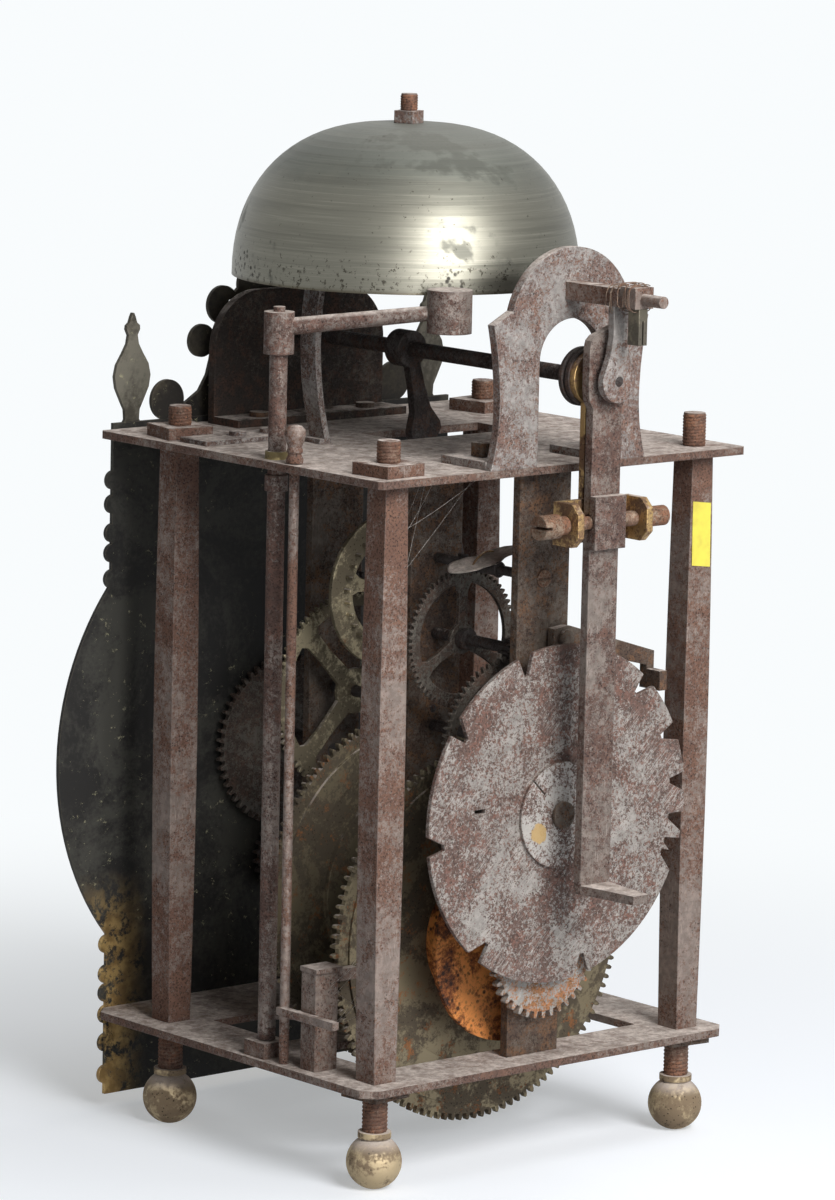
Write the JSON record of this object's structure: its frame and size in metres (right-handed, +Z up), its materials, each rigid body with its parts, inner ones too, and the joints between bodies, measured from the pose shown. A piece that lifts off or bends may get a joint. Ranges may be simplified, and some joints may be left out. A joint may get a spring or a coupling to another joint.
{
  "type": "column clock",
  "caption": "Iron column clock movement with striking work, bell on top, arched cocks, open wheel trains, dial plate at the front and ball feet.",
  "frame": {"origin": "middle of the object's box at table height, under the four ball feet", "axes": "+Z up, the dial faces -Y, the crutch and count wheel are at +Y, +X is the hammer's side"},
  "size_m": [0.293, 0.2988, 0.5338],
  "materials": {
    "plate_iron": "dusty brown iron plate",
    "post_iron": "rust-brown wrought iron with bare scratches",
    "bar_iron": "dark brown wrought iron",
    "cock_iron": "grey-brown pitted iron",
    "dark_steel": "near-black old steel",
    "grey_steel": "grey steel with rust freckles",
    "foot_brass": "tarnished brass",
    "wheel_brass": "dull pale brass",
    "great_brass": "greenish-brown brass",
    "orange_rust": "bright orange rust",
    "bell_bronze": "grey bronze with brushed marks",
    "dial_sheet": "blackened sheet with gilt patches",
    "pale_ring": "worn silvered sheet"
  },
  "bodies": {
    "frame": {"bottom_plate": "plate_iron", "top_plate": "plate_iron", "front_right_column": "post_iron", "rear_right_column": "post_iron", "front_left_column": "post_iron", "rear_left_column": "post_iron", "column_nuts": "post_iron", "foot_washers": "foot_brass", "ball_feet": "foot_brass", "front_bar": "bar_iron", "middle_bar": "bar_iron", "rear_bar": "bar_iron", "fly_bush": "dark_steel", "dial_plate": "dial_sheet", "dial_crest": "dial_sheet", "dial_finials": "dial_sheet", "hour_ring": "pale_ring", "hour_stud": "dark_steel", "front_cock": "cock_iron", "rear_cock": "cock_iron", "cock_bolts": "dark_steel", "pallet_hanger": "post_iron", "suspension_bracket": "post_iron", "suspension_block": "dark_steel", "bell_stand": "grey_steel", "bell": "bell_bronze", "bell_nut": "post_iron", "hammer_step": "bar_iron", "hammer_bush": "foot_brass", "lower_bracket": "bar_iron", "bar_studs": "dark_steel"},
    "going_great": {"going_great_wheel": "great_brass", "going_drum": "orange_rust", "going_great_arbor": "dark_steel"},
    "going_second": {"going_second_wheel": "wheel_brass", "going_second_arbor": "dark_steel"},
    "escape": {"escape_wheel": "wheel_brass", "escape_arbor": "dark_steel"},
    "hour": {"hour_wheel": "dark_steel", "hour_hand": "dark_steel"},
    "strike_great": {"strike_great_wheel": "great_brass", "lifting_pins": "dark_steel", "strike_drum": "orange_rust", "strike_great_arbor": "dark_steel", "count_pinion": "great_brass"},
    "strike_second": {"strike_second_wheel": "dark_steel", "strike_second_arbor": "dark_steel"},
    "strike_third": {"strike_third_wheel": "dark_steel", "strike_third_arbor": "dark_steel"},
    "fly": {"fly": "grey_steel", "fly_arbor": "dark_steel"},
    "count": {"count_gear": "dark_steel", "count_wheel": "grey_steel"},
    "pallets": {"pallet_arbor": "dark_steel", "beat_yoke": "foot_brass"},
    "crutch": {"crutch_arm": "post_iron"},
    "beat_screw": {"beat_screw": "grey_steel"},
    "hammer": {"hammer": "post_iron"},
    "release": {"release_rod": "post_iron"},
    "count_detent": {"count_detent": "bar_iron"}
  },
  "joints": [
    {"name": "going_great_turn", "type": "hinge", "parent": "frame", "child": "going_great", "pos_m": [0, -0.03665, 0.124], "axis": [0, 1, 0], "continuous": true},
    {"name": "going_second_turn", "type": "hinge", "parent": "frame", "child": "going_second", "pos_m": [0, -0.05665, 0.22], "axis": [0, 1, 0], "continuous": true},
    {"name": "escape_turn", "type": "hinge", "parent": "frame", "child": "escape", "pos_m": [0, -0.05665, 0.2775], "axis": [0, 1, 0], "continuous": true},
    {"name": "hour_turn", "type": "hinge", "parent": "frame", "child": "hour", "pos_m": [0, -0.13465, 0.1856], "axis": [0, 1, 0], "continuous": true},
    {"name": "strike_great_turn", "type": "hinge", "parent": "frame", "child": "strike_great", "pos_m": [0, 0.02335, 0.1092], "axis": [0, 1, 0], "continuous": true},
    {"name": "strike_second_turn", "type": "hinge", "parent": "frame", "child": "strike_second", "pos_m": [0, 0.02335, 0.2116], "axis": [0, 1, 0], "continuous": true},
    {"name": "strike_third_turn", "type": "hinge", "parent": "frame", "child": "strike_third", "pos_m": [0, 0.02335, 0.2596], "axis": [0, 1, 0], "continuous": true},
    {"name": "fly_turn", "type": "hinge", "parent": "frame", "child": "fly", "pos_m": [0, 0.02335, 0.29865], "axis": [0, 1, 0], "continuous": true},
    {"name": "count_turn", "type": "hinge", "parent": "frame", "child": "count", "pos_m": [0, 0.07335, 0.18095], "axis": [0, 1, 0], "continuous": true},
    {"name": "pallet_swing", "type": "hinge", "parent": "frame", "child": "pallets", "pos_m": [0, -0.01665, 0.4035], "axis": [0, 1, 0], "range_deg": [-2, 2]},
    {"name": "beat_screw_turn", "type": "hinge", "parent": "pallets", "child": "beat_screw", "pos_m": [0, 0.10985, 0.333], "axis": [1, 0, 0], "range_deg": [-720, 720]},
    {"name": "crutch_set", "type": "hinge", "parent": "pallets", "child": "crutch", "pos_m": [0, 0.10835, 0.4035], "axis": [0, 1, 0], "range_deg": [-2, 2]},
    {"name": "hammer_swing", "type": "hinge", "parent": "frame", "child": "hammer", "pos_m": [0.112, -0.00905, 0.4], "axis": [0, 0, 1], "range_deg": [-28, 0]},
    {"name": "release_turn", "type": "hinge", "parent": "frame", "child": "release", "pos_m": [0.1165, 0.01035, 0.2], "axis": [0, 0, 1], "range_deg": [-10, 0]},
    {"name": "detent_lift", "type": "hinge", "parent": "frame", "child": "count_detent", "pos_m": [-0.009, 0.07135, 0.26865], "axis": [0, 1, 0], "range_deg": [0, 8]}
  ],
  "couplings": [
    {"joint": "going_second_turn", "follows": "going_great_turn", "ratio": -15},
    {"joint": "escape_turn", "follows": "going_great_turn", "ratio": 157.5},
    {"joint": "hour_turn", "follows": "going_great_turn", "ratio": -0.4},
    {"joint": "strike_second_turn", "follows": "strike_great_turn", "ratio": -15},
    {"joint": "strike_third_turn", "follows": "strike_great_turn", "ratio": 135},
    {"joint": "fly_turn", "follows": "strike_great_turn", "ratio": -1234.3},
    {"joint": "count_turn", "follows": "strike_great_turn", "ratio": -0.86364},
    {"joint": "crutch_set", "follows": "beat_screw_turn", "ratio": 0.0027778}
  ]
}
